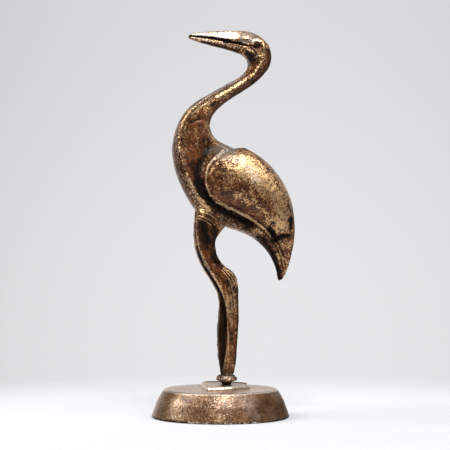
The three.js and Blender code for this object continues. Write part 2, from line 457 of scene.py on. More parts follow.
def makePlinth():
    turns = [2 * math.pi * k / plinth["points"] for k in range(plinth["points"])]
    rings = [
        [(radius * math.cos(turn), radius * math.sin(turn), height) for turn in turns]
        for radius, height in plinth["rings"]
    ]
    disc = sweepRings("plinth_casting", rings)
    fuse([disc, sweepRings("pad", padRings())], plinth["voxel"])
    applyModifier(disc, "SMOOTH", factor=0.5, iterations=2)
    spots = readPoints(disc)
    ways = readNormals(disc)
    side = zone(spots, "side") * ease(np.abs(ways[:, 2]), *plinth["steep"])
    addLumps(spots, ways, plinth["lumps"], side)
    half, height, line = plinth["padSeam"]
    seam = ease(nearLine(spots[:, :2], line)[0], half, half * 0.4)
    spots[:, 2] += zone(spots, "padTop") * height * seam
    corner, width, drop = plinth["padFall"]
    away = np.hypot(*(spots[:, :2] - corner).T)
    spots[:, 2] -= zone(spots, "padWall") * drop * np.exp(-((away / width) ** 2))
    size, seed, even, uneven, most = plinth["edgeChips"]
    edge = zone(spots, "lowEdge") * ease(np.hypot(*spots[:, :2].T), *plinth["edgeReach"])
    spots[:, 2] += edge * np.clip(even + uneven * roughField(spots, size, seed, 2), 0, most)
    writePoints(disc, spots)
    print("plinth made", len(disc.data.polygons))
    return disc


def patches(spots, name):
    size, seed, low, high = plinth[name]
    return ease(roughField(spots, size, seed, 2), low, high)


def paintPlinth(piece):
    spots = readPoints(piece)
    x, y, z = spots.T
    top = ease(readNormals(piece)[:, 2], *plinth["level"])
    ragged = tornEdges(spots, 21)
    perDegree = plinth["round"]
    aside = np.stack([np.degrees(np.arctan2(x, -y)) * perDegree, z], 1)
    masks = {kind: np.zeros(len(spots)) for kind in paintKit["kinds"]}
    for kind, rows in plinth["topPaint"].items():
        masks[kind] = strokeMask(spots[:, :2], 0.5 * ragged, rows) * top
    for kind, rows in plinth["sidePaint"].items():
        spread = [
            (start, end, strength, [[turn * perDegree, height] for turn, height in line])
            for start, end, strength, line in rows
        ]
        raiseMask(masks, kind, strokeMask(aside, ragged, spread) * (1 - top))
    polish = plinth["polish"]
    front = ease(-y, *plinth["front"])
    rim = zone(spots, "rim") * ease(np.hypot(x, y), *plinth["rimReach"])
    chips = zone(spots, "chips") * patches(spots, "chipPatches")
    gaps = zone(spots, "gaps") * patches(spots, "gapPatches")
    masks["polish"] *= 1 - top * zone(spots, "flatTop")
    # painted reflection of the pale backdrop on the level top and the pad, and a painted highlight
    # along the rim
    raiseMask(masks, "polish", (polish["top"] + polish["front"] * front) * top)
    raiseMask(masks, "polish", polish["pad"] * zone(spots, "padFoot"))
    raiseMask(masks, "polish", polish["rim"] * rim)
    raiseMask(masks, "polish", polish["chips"] * chips)
    masks["slate"] *= 1 - zone(spots, "padSheen")
    raiseMask(masks, "grime", gaps * (1 - chips))
    setMasks(piece, masks)
    print("plinth painted")


# Bird: trunk, wings, legs and foot are swept through ribs, fused into one casting, then carved
# and painted by lines drawn in the side view, x and z on its middle plane

# lines that are both cut and painted
beakGap = (
    [[-14.2, 167.2], [-8.5, 167], [-3, 166.5], [3.2, 165.5]],
    [[3.2, 165.5], [9.1, 164.6], [13.8, 163.7]],
)
kneeRidges = (
    [[1.1, 64.9], [3.8, 63.6], [6.1, 61.4], [7.3, 58.4]],
    [[1.6, 64.4], [4, 62.2], [5.8, 59.6], [6.9, 56.4]],
    [[0.7, 64], [2.9, 61.6], [4.7, 58.3], [5.9, 54], [6.4, 49]],
)
neckCrease = [[10.2, 150.3], [6.6, 147.8], [-0.2, 144], [-6.6, 140.2], [-13, 135.9]]
breastFlaw = [[-13.2, 129.2], [-9.7, 130.6]]

bird = {
    "stepsPerRib": 2,
    "voxel": 0.32,
    # rib columns: front x and z, back x and z, half width
    "trunkRibs": [
        [-14.8, 166.1, -14.7, 167.8, 0.7],
        [-7.3, 163.9, -7, 169.2, 1.6],
        [0, 162.4, -0.2, 169.8, 2.4],
        [6.8, 160.7, 6.3, 170.1, 3.1],
        [11, 159.1, 13.6, 169.9, 3.8],
        [12.9, 156, 21.2, 165.2, 4.1],
        [12.1, 152.9, 23.1, 157.3, 3.7],
        [10, 150.7, 18.9, 150.1, 3.4],
        [6.4, 148.2, 11, 144, 3.2],
        [-0.5, 144.4, 3.3, 138.9, 3.3],
        [-6.9, 140.7, -1.9, 134.7, 3.7],
        [-13.4, 136.4, -4.9, 129.6, 4.4],
        [-18.2, 129.9, -4.6, 125.4, 5],
        [-20.8, 122, -1.6, 121, 5.5],
        [-21.4, 115, 5.4, 117.9, 6],
        [-20, 107.8, 14.6, 112.4, 6.4],
        [-16.6, 99.7, 23.4, 103, 6.8],
        [-11.3, 90.6, 28.6, 92.4, 6.9],
        [-4, 85, 30.2, 83.2, 6.4],
        [10, 81, 29.8, 76, 5.2],
        [16.8, 77.2, 29.2, 71, 4.2],
        [22.6, 71.1, 28.6, 66.2, 3.1],
        [25.5, 63.7, 27.9, 61.7, 1.9],
        [26.1, 59.6, 26.8, 59.3, 1],
    ],
    # section columns: rib number, front face, front ridge depth, hollow side, back ridge,
    # back bevel depth, back edge; widths as shares of the rib's half width
    "trunkSections": [
        [0, 0.4, 0.3, 0.95, 1, 0.3, 0.4],
        [3, 0.3, 2.6, 0.9, 1, 4, 0.25],
        [5, 0.6, 1.5, 1, 1, 3, 0.4],
        [8, 0.8, 0.5, 0.97, 1, 2.8, 0.2],
        [11, 0.6, 1.1, 0.88, 0.95, 3, 0.25],
        [14, 0.35, 1.9, 0.72, 1, 5, 0.3],
        [16, 0.35, 3.4, 0.78, 1, 6, 0.25],
        [18, 0.35, 7, 0.9, 1, 6, 0.25],
        [21, 0.4, 1.6, 0.95, 1, 2.4, 0.3],
        [23, 0.6, 0.2, 1, 1, 0.2, 0.6],
    ],
    # wing columns: rim x and z, back x and z, rim distance from the middle, dome height
    "wingRibs": [
        [4.6, 117.6, 9.8, 118.3, 3, 0.5],
        [-4.2, 113.6, 13.4, 116.7, 6.9, 3.2],
        [-8, 107, 19.4, 112.9, 7.9, 4.9],
        [-8.3, 101, 24.8, 107.5, 8.4, 5.6],
        [-4.7, 95.3, 29.1, 101.3, 8.5, 5.6],
        [2.9, 91.2, 31.8, 94.4, 8.2, 5.2],
        [10.5, 87.6, 33.1, 87, 7.5, 4.4],
        [17.3, 83.3, 33.2, 79.9, 6.6, 3.4],
        [22.6, 78, 32.3, 73.3, 5.3, 2.4],
        [26.2, 72.2, 30.9, 67.4, 3.8, 1.4],
        [27, 65.6, 29.3, 62.9, 2.4, 0.6],
        [26.6, 60.2, 27.5, 59.5, 1.2, 0.1],
    ],
    "wingLip": {"width": 1.3, "height": 0.35, "depth": 1.2},
    "wingMeeting": {"groove": 0.5, "overlap": 0.3},
    # leg columns: front x and z, back x and z, inner and outer distance from the middle,
    # how far the far leg stands forward
    "legRibs": [
        [-11, 92.5, 4, 88.5, -0.6, 6.2, 0],
        [-11.5, 85.5, 1.4, 82.9, -0.6, 5.6, 0],
        [-11.5, 80.1, -2.8, 78, -0.5, 5.2, 0],
        [-10.6, 74.5, -2.7, 73.4, -0.4, 5, 0.4],
        [-8.7, 69.3, -2.2, 70.6, -0.3, 4.9, 0.8],
        [-5.8, 64, 0.4, 66.5, -0.2, 4.9, 1.1],
        [-2.8, 59.2, 5.6, 63, -0.1, 5, 0.9],
        [-0.4, 55, 7.1, 58.4, 0.5, 5, 0.7],
        [1.2, 50.5, 7.2, 52.6, 1.1, 5, 1.1],
        [2.2, 44, 7.5, 44.8, 1.2, 5, 2.4],
        [2.3, 37.5, 7.1, 37.8, 1.2, 4.9, 3],
        [1.9, 29.5, 6.6, 30, 1.1, 4.8, 2.5],
        [1, 24, 6.3, 24.4, 0.9, 4.6, 1.3],
        [0.5, 18, 5.4, 18, 0.5, 4.2, 0],
    ],
    "legHollow": 0.45,
    "footCentre": 2.7,
    # foot columns: radius and height above the pad
    "footRings": [
        [2.3, -0.3],
        [2.1, 0.4],
        [2.5, 1.1],
        [4.2, 1.7],
        [4.7, 2.3],
        [4.4, 2.9],
        [3.7, 3.7],
        [2.6, 4.6],
    ],
    # numbers of the points in a ring whose long edges stay sharp, and how sharp
    "trunkCreases": {2: 0.75, 6: 0.6, 11: 0.6, 15: 0.75, 0: 0.5, 17: 0.5, 8: 0.5, 9: 0.5},
    "wingCreases": {1: 0.7, 2: 0.5, 9: 0.4, 12: 0.6},
    "legCreases": {3: 0.7, 7: 0.5, 8: 0.4},
    # below this height the far leg stands forward
    "staggerBelow": 76,
    # columns of the cuts: kind, half width at the start and at the end, lift, line
    "cuts": [
        # beak: the dark gap between its halves, the end of the sheath and the gape
        ("groove", 0.4, 0.9, -0.8, beakGap[0]),
        ("groove", 0.9, 0.5, -0.8, beakGap[1]),
        ("soft", 0.35, 0.35, -0.12, [[9.2, 169.9], [9.2, 167.6], [9.4, 165.3]]),
        ("groove", 0.3, 0.3, -0.15, [[10.2, 164.2], [12.9, 163.3], [14.8, 162.2], [16.6, 160.8]]),
        ("crest", 0.5, 0.4, 0.25, [[10.2, 164.8], [12.9, 164.1], [14.8, 163], [16.8, 161.6]]),
        # brow over the eye, cheek pits
        ("soft", 1, 0.9, 0.5, [[14.8, 165.5], [15.6, 166.4], [18, 166.1]]),
        ("soft", 0.5, 0.5, -0.4, [[15.4, 163.4]]),
        ("soft", 0.8, 0.8, -0.6, [[13.2, 160.2], [13.6, 158.6]]),
        ("soft", 0.5, 0.5, -0.4, [[16.3, 159.4]]),
        ("soft", 0.5, 0.5, -0.35, [[11.6, 161.5]]),
        ("soft", 0.4, 0.4, -0.35, [[15.6, 157.3]]),
        ("crest", 0.4, 0.35, 0.2, [[12.2, 162.2], [14.6, 161.2], [16.4, 159.2], [18.2, 159.4]]),
        # ridge along the nape and the back of the neck
        ("crest", 0.9, 0.7, 0.38, [
            [19.1, 166.2], [19.9, 163.5], [20.1, 160.4], [19.1, 157.2], [15.4, 151.3], [7.9, 145.7],
            [-1.6, 140.1],
        ]),
        # breast ridge and the strip that it widens to
        ("crest", 0.8, 0.9, 0.42, [
            [-7.4, 139.1], [-13, 134.5], [-17, 128.9], [-18.6, 123.8], [-18.7, 118.5],
            [-17.9, 113.7], [-16.3, 109.4], [-13.8, 102.6], [-10.6, 96.9], [-6.5, 92],
        ]),
        ("soft", 0.9, 1.3, 0.35, [[-15, 105.6], [-12.4, 99.6], [-9, 95.3], [-5.1, 91.2]]),
        # channel between the breast and the wing
        ("soft", 2, 1.3, -0.7, [
            [-7.4, 113.5], [-9.4, 108.2], [-9.5, 102.9], [-7.2, 97.6], [-2.5, 92.9], [5, 89],
            [12, 85.8],
        ]),
        # raised rim of the wing
        ("crest", 0.8, 0.55, 0.6, [
            [1, 116.2], [-2.5, 113.6], [-5.2, 110.2], [-6.5, 106.2], [-6.6, 101.8],
            [-4.9, 97.6], [-1.6, 94.2], [3.8, 91.6], [9.3, 89.1], [14.2, 86.4], [18.6, 83.3],
            [22.2, 79.8], [25.9, 74.9], [27.9, 70.5], [28.8, 66],
        ]),
        # folds of skin over the thigh and the hollow below them
        ("crest", 0.4, 0.35, 0.2, [[-12.4, 89.2], [-9.3, 89.7], [-4.8, 88.7], [-1.6, 86.2]]),
        ("crest", 0.4, 0.35, 0.2, [[-12.2, 87.9], [-9.2, 87.8], [-5.2, 86.5], [-2.5, 84]]),
        ("crest", 0.4, 0.3, 0.18, [[-11.9, 86.6], [-9.2, 86.5], [-6.1, 85.4], [-3.8, 83.5]]),
        ("soft", 1.5, 0.9, -0.9, [[-7.4, 85], [-7.2, 82], [-6.2, 78.4], [-5.4, 73], [-2.4, 67.4]]),
        # leg: ridges at the front and at the knee
        ("crest", 0.55, 0.5, 0.35, [
            [-10.3, 85], [-10.3, 80.4], [-9.6, 74.6], [-7.4, 69.5], [-4.4, 64], [-2.2, 60.4],
            [-0.2, 56.8], [1.4, 53.3], [2.9, 48.9], [3.4, 43.1], [3.4, 37.9], [3.2, 30.4],
            [2.3, 24.5],
        ]),
        ("crest", 0.4, 0.35, 0.4, kneeRidges[0]),
        ("crest", 0.35, 0.35, 0.35, kneeRidges[1]),
        ("crest", 0.4, 0.35, 0.4, kneeRidges[2]),
        # casting flaws on the wing and the neck
        ("soft", 1.1, 1.1, -0.22, [[22.6, 82], [24.5, 79.6]]),
        ("soft", 1.3, 1.2, -0.25, [[25, 77.8], [28.4, 79.2]]),
        ("soft", 1, 1, -0.2, [[31.6, 86.9], [31.4, 83]]),
        ("soft", 1.2, 0.9, -0.3, breastFlaw),
    ],
    # the mesh is made finer within this distance of a cut's line
    "refineWithin": 1.1,
    # the dip beside a crest: distance and width in half widths, share of the crest's lift
    "crestDip": (1.5, 0.4, 0.35),
    # how unevenly the crests stand: size, seed, share of the lift
    "crestWander": (1.2, 6, 0.4),
    # eye: its place in the side view, ball radius and lift, ring radius, width and depth
    "eye": {"place": (16.9, 163.8), "ball": (0.75, 0.3), "ring": (1.15, 0.32, 0.45)},
    # lumps left by the casting: size, height, seed
    "lumps": [(7.0, 0.12, 1), (2.6, 0.07, 2), (1.1, 0.04, 3)],
    "footLumps": [(1.2, 0.6, 7)],
    "footHeights": ((20.5, 18.5), (15.2, 16.2)),
    # heights between which the lumps fade on the head, and how far
    "smoothHead": (164, 166, 0.8),
    "triangles": 192000,
    # sideways parts of the surface's direction between which it looks outwards, or inwards
    "outward": (0.02, 0.25),
    "inward": (0.0, -0.35),
    # Paint masks, with the columns of a stroke
    # bright metal: polished high places, and painted highlights of the lamps on the beak, brow,
    # wing, neck and foot
    "polish": [
        (1, 2.3, 0.94, [[-12.6, 167.1], [-7, 167.8], [0.7, 168.2], [6.2, 167.9]]),
        (0.9, 0.8, 1, [[14.8, 165.4], [15.4, 166.2], [16.5, 166.6], [18, 166.1]]),
        (0.7, 0.7, 0.5, [[11.2, 168], [12.2, 167.7]]),
        (1.2, 1.8, 0.35, [[-0.9, 113.6], [2.2, 114.2], [4.6, 114]]),
        (2.8, 2.2, 0.5, [[10.8, 110.6], [13.9, 107.3], [17.2, 103.4]]),
        (0.4, 0.35, 0.7, [[-10, 165.9], [-3.1, 164.9], [3.1, 164], [8.7, 162.9]]),
        (0.5, 0.5, 0.5, [[-2.5, 113.6], [-5.2, 110.2], [-6.5, 106.2]]),
        (1.8, 1.8, 0.6, [[0.2, 116.4], [6, 117.2]]),
        (0.45, 0.4, 0.5, [[-6.6, 101.8], [-4.9, 97.6], [-1.6, 94.2], [3.8, 91.6], [9.3, 89.1]]),
        (0.4, 0.4, 0.4, [[9.3, 89.1], [14.2, 86.4], [18.6, 83.3]]),
        (1, 1.4, 0.3, [[-14.6, 105], [-11.5, 98.4], [-6.1, 91.5]]),
        (0.55, 0.5, 0.9, [[1.6, 16.8], [2.6, 17.4], [3.2, 18.6]]),
        (0.45, 0.45, 0.9, [[3.9, 16.6], [5.2, 16.8]]),
        (0.6, 0.7, 0.3, [[11.8, 150.2], [9.6, 148.6], [6.4, 146.2], [0, 142.8]]),
        (0.35, 0.35, 0.45, [[19.2, 160.6], [18.9, 157.4], [17.6, 154.6], [15.8, 152.4]]),
        (1, 0.8, 0.4, [[1, 142.6], [-5.4, 138.9], [-11, 134.9]]),
    ],
    # edges where the skin is worn through, and fields of painted highlight on the neck and the wing
    "rubbed": [
        (1, 1.4, 0.3, [[13.8, 151.8], [12, 150.2], [8, 147.2], [3, 144.2]]),
        (1.8, 1.8, 0.35, [[3.4, 144], [-2.5, 140.5], [-7.9, 137], [-12.4, 132.2]]),
        (1.5, 2, 0.8, [[-15.2, 105.6], [-11.9, 98.4], [-6.1, 91.5]]),
        (4.6, 5, 0.9, [[9.9, 111], [14.3, 107.5], [20.6, 101.4], [25.7, 95.3]]),
        (3.2, 3, 0.3, [[10, 98], [15, 93], [20, 87]]),
        (3, 3, 0.85, [[25.5, 96], [28, 91], [29.3, 83.5]]),
        (1, 0.8, 0.7, [[-6.3, 128.5], [-4.6, 123.4], [-0.6, 120.4], [5, 118.9]]),
        (0.8, 0.7, 0.5, [[-11.2, 126], [-10.6, 122.4], [-9.9, 118.7]]),
        (0.28, 0.25, 0.8, kneeRidges[0]),
        (0.25, 0.25, 0.8, kneeRidges[1]),
        (0.28, 0.25, 0.8, kneeRidges[2]),
        (1.2, 0.8, 0.5, [[4.6, 58], [4.6, 50], [5, 40]]),
        (0.3, 0.3, 0.7, [[3.9, 36], [3.6, 28], [2.9, 21]]),
        (0.35, 0.35, 0.5, [[6.6, 56], [7, 46], [6.6, 36], [6, 26]]),
        (0.6, 0.5, 0.9, [[-5.5, 110.2], [-6.6, 104], [-4.9, 97.6], [-1.6, 94.2], [3.8, 91.6]]),
        (0.5, 0.4, 0.9, [[3.8, 91.6], [9.3, 89.1], [14.2, 86.4], [18.6, 83.3], [22.2, 79.8]]),
        (0.4, 0.4, 0.8, [[22.2, 79.8], [25.9, 74.9], [27.9, 70.5]]),
    ],
    # the brown skin left whole
    "brown": [
        (1.4, 1.6, 0.25, [[-6, 164.6], [3, 163], [9, 161.4]]),
        (5, 5, 0.8, [[-9.6, 126.8], [-12, 117.9], [-11.6, 108], [-10, 100]]),
        (3, 3, 0.8, [[-12.5, 114], [-12, 106], [-9.5, 99]]),
        (2.6, 3, 0.7, [[-8.5, 133], [-5.5, 130], [-4.5, 124], [2, 120.5]]),
        (3.5, 4.5, 0.42, [[-2.9, 109.1], [-2.4, 103], [1.7, 98.7]]),
        (2.6, 2, 0.35, [[30.5, 80], [30.2, 70], [29, 62]]),
        (2.2, 2.2, 0.6, [[-2.6, 99], [2, 95.4], [12, 91.4], [19, 87.6]]),
        (1.6, 1.6, 0.5, [[24.8, 103.5], [28.5, 98], [30.6, 91]]),
        (2.6, 2.2, 0.8, [[16.9, 164]]),
        (4, 3, 0.5, [[8, 101], [15, 97.5], [20, 94.5]]),
        (2.6, 2.6, 0.5, [[21.5, 93.1], [24.3, 90]]),
        (2.4, 2.4, 0.6, [[19, 98.4], [25.5, 94.5]]),
        (1.8, 1.6, 0.6, [[13.6, 92.6], [18.2, 88.2]]),
        (2.4, 3, 1, [[-8.5, 84], [-7.4, 78], [-6, 73], [-2.9, 67]]),
        (2.2, 2.6, 0.9, [[-3.5, 84], [-3.5, 77], [-1.5, 70]]),
        (2.5, 2.2, 0.5, [[-2.9, 67], [0.9, 60.5], [3.3, 55]]),
        (1.8, 1.6, 0.3, [[4.6, 44], [5.2, 36], [4.8, 30], [4, 22]]),
        (1.8, 2.2, 0.45, [[-18.8, 132], [-20.3, 124], [-20, 113], [-16.8, 102], [-12.4, 93.5]]),
        (1.6, 2, 0.25, [[22.3, 163], [21.5, 157], [18.6, 151]]),
        (2, 2.4, 0.6, [[18.6, 151], [12, 145], [5, 140], [-2, 134.5]]),
        (2, 1.8, 0.65, [[15.4, 156.2], [13.9, 153.2], [11.8, 150.8]]),
    ],
    # painted grey sheen: reflections of the grey and dark surroundings on bevels and smooth faces
    "slate": [
        (1, 1.2, 1, [[10.4, 165.6], [12.4, 165.5], [13.5, 166.8]]),
        (0.9, 0.9, 1, [[9.9, 169.4], [9.9, 166.2]]),
        (1.1, 1, 0.9, [[10.4, 169.6], [13.4, 169.1], [17, 168.4]]),
        (0.8, 0.8, 0.7, [[13.3, 168.2], [13.8, 166.6]]),
        (2.6, 3, 0.45, [[-12, 167.6], [-4, 168], [7.6, 167.6]]),
        (0.9, 1, 0.35, [[-8.2, 127], [-7, 122.5], [-4, 118.6]]),
        (1.6, 1.8, 0.8, [[-5.5, 116.6], [-2.5, 117.6], [0.6, 119]]),
        (2.2, 2, 1, [[-1.4, 115.4], [1.6, 117], [6, 118]]),
        (2.4, 2.2, 0.65, [[0.5, 114.4], [5.2, 114.2], [9, 112.6]]),
        (2.6, 2.4, 0.25, [[9.8, 111], [14.4, 107]]),
        (0.9, 1.2, 0.35, [[13, 151], [9, 147.9], [5.5, 145.6], [0, 142.8]]),
        (1.4, 1.2, 0.4, [[14.2, 92.2], [17.6, 88.6]]),
        (1.3, 1.3, 0.5, [[-3.2, 82], [-2.4, 76], [-2.4, 71.5]]),
        (1.6, 1.8, 0.4, [[-6.5, 116], [-8.5, 110], [-8.7, 103]]),
        (1.3, 1.3, 0.5, [[-20.4, 122], [-20.6, 115], [-19, 107], [-14.5, 96.5]]),
        (0.7, 0.7, 0.8, neckCrease),
        (1.4, 1.4, 0.85, [[1, 17.4], [5.2, 17.8]]),
    ],
    # streaks along the legs
    "grain": [
        (2.6, 2.6, 1, [[1.6, 56], [4.8, 48], [4.8, 36], [3.6, 22]]),
        (2, 2.4, 0.6, [[-6, 74], [-3, 65], [1.6, 58]]),
        (3, 3, 0.5, [[12, 149], [0, 141.5], [-9, 134]]),
    ],
    # dark skin with bright points in it
    "glint": [
        (1.6, 2.2, 1, [[-16, 136.5], [-19.2, 130], [-20.2, 122], [-19.8, 114]]),
        (2, 1.6, 0.7, [[-19.8, 114], [-18.3, 107], [-14.6, 99], [-9.6, 92.6]]),
        (1.5, 1.5, 0.5, [[-16.2, 115.5], [-14.8, 111], [-12.8, 108.5]]),
        (2.2, 1.8, 0.7, [[0, 86.5], [6, 84.6], [13.3, 81], [19.5, 75.5]]),
        (1.5, 1.2, 0.6, [[-4, 141], [-10, 137.5], [-14.5, 132]]),
        (1.4, 1.4, 0.6, [[4.2, 61], [6.2, 56], [6.6, 48]]),
        (1.6, 1.6, 0.9, [[0.2, 16.5], [5.6, 17.2]]),
        (1.6, 1.8, 0.5, [[11, 161.5], [14.5, 159.6], [17, 158.4]]),
    ],
    # black dirt, and painted shade in the hollows, the channel under the wing and between the legs
    "grime": [
        (0.5, 0.85, 1, beakGap[0]),
        (0.85, 0.5, 1, beakGap[1]),
        (0.5, 0.8, 0.6, [[-8, 164.9], [-3, 163.9], [2.4, 162.8], [8, 161]]),
        (0.3, 0.3, 0.3, [[9.2, 168.6], [9.4, 165.3]]),
        (1.1, 1.1, 1, [[16.9, 163.9]]),
        (0.8, 0.5, 1, [[16.9, 163.8], [15.2, 163.2], [13.8, 163.6]]),
        (0.5, 0.5, 0.5, neckCrease),
        (1.2, 2, 0.85, [[12, 161], [13.8, 158.9], [14.8, 157.4]]),
        (1, 1, 0.7, [[15.2, 160.4], [17, 158.6]]),
        (1.2, 1.2, 0.62, [[23, 162.3], [22.3, 157.8], [19.8, 152], [15.2, 147.3]]),
        (1.2, 1.2, 0.6, [[15.2, 147.3], [8.8, 142.3], [2.5, 138.2], [-2.5, 133.2]]),
        (0.9, 0.8, 0.8, [[-3.8, 137.2], [-2.4, 138.2]]),
        (1.4, 1.2, 0.7, breastFlaw),
        (1.2, 2.4, 0.7, [[-5.2, 117.9], [-8.2, 113.5], [-10.3, 108.2], [-10, 102.9]]),
        (2, 1.6, 0.95, [[-10, 102.9], [-7.8, 97.2], [-2.4, 91.8], [6.6, 87.4], [14, 83.8]]),
        (2.2, 2, 0.55, [[-3.8, 87.4], [3.4, 86.2], [11.5, 82.7], [17.9, 77.9]]),
        (2.2, 2, 0.68, [[-12, 111], [-11, 106], [-8.6, 101]]),
        (2.2, 1.6, 0.95, [[17.9, 77.6], [22.6, 72.4], [25.2, 66.5], [26.4, 61.1]]),
        (2.8, 2.2, 0.65, [[-7.2, 85.2], [-6.9, 82.2], [-5.9, 78]]),
        (1.8, 1.2, 0.6, [[-3.4, 84], [-2.6, 77.4], [-2.2, 72.1], [-0.7, 67.8]]),
        (0.9, 0.9, 0.5, [[-20.4, 124], [-20.6, 115], [-19, 107], [-14.5, 96.5]]),
        (1, 1, 0.78, [[7.6, 56], [8.2, 48], [7.8, 36], [6.8, 24]]),
        (1, 1, 0.7, [[-1.6, 82], [-2, 77], [-2, 73], [-0.6, 69.5], [2, 67]]),
        (0.6, 0.6, 0.5, [[-9, 164.2], [-2, 162.4], [4, 160.6], [9, 158.6]]),
        (1.6, 1.6, 1, [[0.9, 13.9], [4.5, 13.9]]),
        (1.4, 1.2, 0.7, [[-3.1, 82.5], [-3.5, 77], [-3.6, 73], [-2.3, 68.6], [0.2, 66]]),
        (1.6, 1.4, 0.75, [[-0.6, 19.2], [0.4, 16.4]]),
        (1.2, 1.2, 0.7, [[6.4, 18.6], [6.8, 16.4]]),
        (2.2, 1.6, 0.6, [[1, 19.6], [6, 19.6]]),
        (1.8, 1.6, 0.3, [[2, 64], [5.5, 59.5], [6.8, 53]]),
        (2.6, 2.6, 0.15, [[4.6, 40], [4.2, 22]]),
        (2.8, 2.4, 0.45, [[-8.6, 83], [-8, 77], [-6, 71], [-3, 65.5]]),
        (2.2, 2.6, 0.5, [[-8.6, 84], [-7.4, 79], [-6.2, 75]]),
        (3, 3, 0.4, [[-12.8, 106.5], [-10.4, 112]]),
        (0.8, 0.8, 0.6, [[-15.6, 115.5], [-14.4, 111.5], [-13, 108.5]]),
        (2, 1.8, 0.3, [[19.6, 94.6], [25, 91.8]]),
        (2.4, 2.2, 0.14, [[5.5, 113], [10, 110.5]]),
    ],
    # dark flaws of the near wing only, and how far out from the middle plane they fade in
    "nearWing": (0.5, 3),
    "wingFlaws": [
        (1.3, 1.3, 1, [[22.4, 82.4], [24.3, 79.8]]),
        (1.6, 1.3, 1, [[24.6, 77.6], [28.3, 79.2], [30.2, 79.5]]),
        (1.1, 1.1, 1, [[32.1, 86.9], [31.9, 82.9]]),
    ],
    # the grooves made darker and the crests worn: share of the cut's width, strength
    "grooveDarkening": (0.7, 0.6),
    "crestWear": (0.6, 0.5),
    "crestClean": 1.4,
    # painted shade on the inner sides of the legs, where they face each other: heights between
    # which it fades in, and how much
    "legGapShade": ((80, 70), (18, 21), 0.9),
}


def trunkRing(share):
    frontX, frontZ, backX, backZ, half = tableAt(bird["trunkRibs"], share)
    sections = bird["trunkSections"]
    rib = share * (len(bird["trunkRibs"]) - 1)
    after = next(k for k, row in enumerate(sections) if row[0] >= rib and k > 0)
    step = float(ease(rib, sections[after - 1][0], sections[after][0]))
    row = blendTo(np.array(sections[after - 1], float), np.array(sections[after], float), step)
    face, ridgeDepth, hollow, backRidge, bevel, edge = row[1:]
    length = math.hypot(backX - frontX, backZ - frontZ)
    side = length - ridgeDepth - bevel
    profile = [
        (0, face),
        (ridgeDepth * 0.35, blendTo(face, 1, 0.7)),
        (ridgeDepth, 1),
        (ridgeDepth + side * 0.2, blendTo(1, hollow, 0.75)),
        (ridgeDepth + side * 0.5, hollow),
        (ridgeDepth + side * 0.8, blendTo(hollow, backRidge, 0.7)),
        (length - bevel, backRidge),
        (length - bevel * 0.4, blendTo(edge, backRidge, 0.55)),
        (length, edge),
    ]
    left = [
        (
            blendTo(frontX, backX, away / length),
            -width * half,
            blendTo(frontZ, backZ, away / length),
        )
        for away, width in profile
    ]
    return left + [(x, -y, z) for x, y, z in reversed(left)]


def wingRing(share, hand):
    rimX, rimZ, backX, backZ, rim, dome = tableAt(bird["wingRibs"], share)
    length = math.hypot(backX - rimX, backZ - rimZ)
    lip = min(bird["wingLip"]["width"] / length, 0.2)
    lipHeight = bird["wingLip"]["height"] * min(1, dome)
    overlap = bird["wingMeeting"]["overlap"]
    profile = [
        (0, rim - bird["wingLip"]["depth"]),
        (0, rim),
        (lip * 0.5, rim + lipHeight),
        (lip, rim + dome * 0.05),
        (lip + 0.07, rim + dome * 0.4),
        (0.24, rim + dome * 0.78),
        (0.42, rim + dome),
        (0.6, rim + dome * 0.96),
        (0.76, rim + dome * 0.74),
        (0.87, rim + dome * 0.38),
        (0.94, rim * 0.9),
        (0.98, rim * 0.56),
        (1, rim * 0.22),
        (1 - bird["wingMeeting"]["groove"] / length, -overlap),
        (0.5, -overlap),
        (0.12, -overlap),
    ]
    return [
        (blendTo(rimX, backX, s), hand * away, blendTo(rimZ, backZ, s)) for s, away in profile
    ]


def legRing(share, hand):
    frontX, frontZ, backX, backZ, inner, outer, forward = tableAt(bird["legRibs"], share)
    stagger = 0 if hand < 0 else forward
    width = outer - inner
    hollow = bird["legHollow"]
    profile = [
        (0.1, inner),
        (0, inner + width * 0.3),
        (0.02, inner + width * 0.75),
        (0.14, outer),
        (0.34, outer - hollow * 0.8),
        (0.55, outer - hollow),
        (0.75, outer - hollow * 0.5),
        (0.88, outer - 0.1),
        (1, inner + width * 0.7),
        (1, inner + width * 0.3),
        (0.92, inner),
        (0.5, inner),
    ]
    return [
        (blendTo(frontX, backX, s) - stagger, hand * away, blendTo(frontZ, backZ, s))
        for s, away in profile
    ]


def ringsAlong(rows, ringAt):
    steps = bird["stepsPerRib"] * (len(rows) - 1)
    return [ringAt(k / steps) for k in range(steps + 1)]


def footRings():
    rings = []
    for radius, height in bird["footRings"]:
        ring = []
        for k in range(16):
            turn = 2 * math.pi * k / 16
            lump = 1 + 0.05 * math.sin(3 * turn + 0.6) + 0.03 * math.sin(5 * turn + 2)
            x = radius * lump * math.cos(turn)
            y = radius * lump * 1.05 * math.sin(turn)
            ring.append((bird["footCentre"] + x, y, padTopAt(y) + height))
        rings.append(ring)
    return rings


def makeBird():
    rings = ringsAlong(bird["trunkRibs"], trunkRing)
    trunk = sweepRings("crane_casting", rings, bird["trunkCreases"])
    parts = [trunk]
    for hand in (-1, 1):
        rings = ringsAlong(bird["wingRibs"], lambda share: wingRing(share, hand))
        parts.append(sweepRings("wing", rings, bird["wingCreases"]))
        rings = ringsAlong(bird["legRibs"], lambda share: legRing(share, hand))
        parts.append(sweepRings("leg", rings, bird["legCreases"]))
    parts.append(sweepRings("foot", footRings()))
    for part in parts:
        applyModifier(part, "SUBSURF", levels=3, render_levels=3)
    fuse(parts, bird["voxel"])
    applyModifier(trunk, "SMOOTH", factor=0.5, iterations=3)
    print("bird fused", len(trunk.data.polygons))
    return trunk


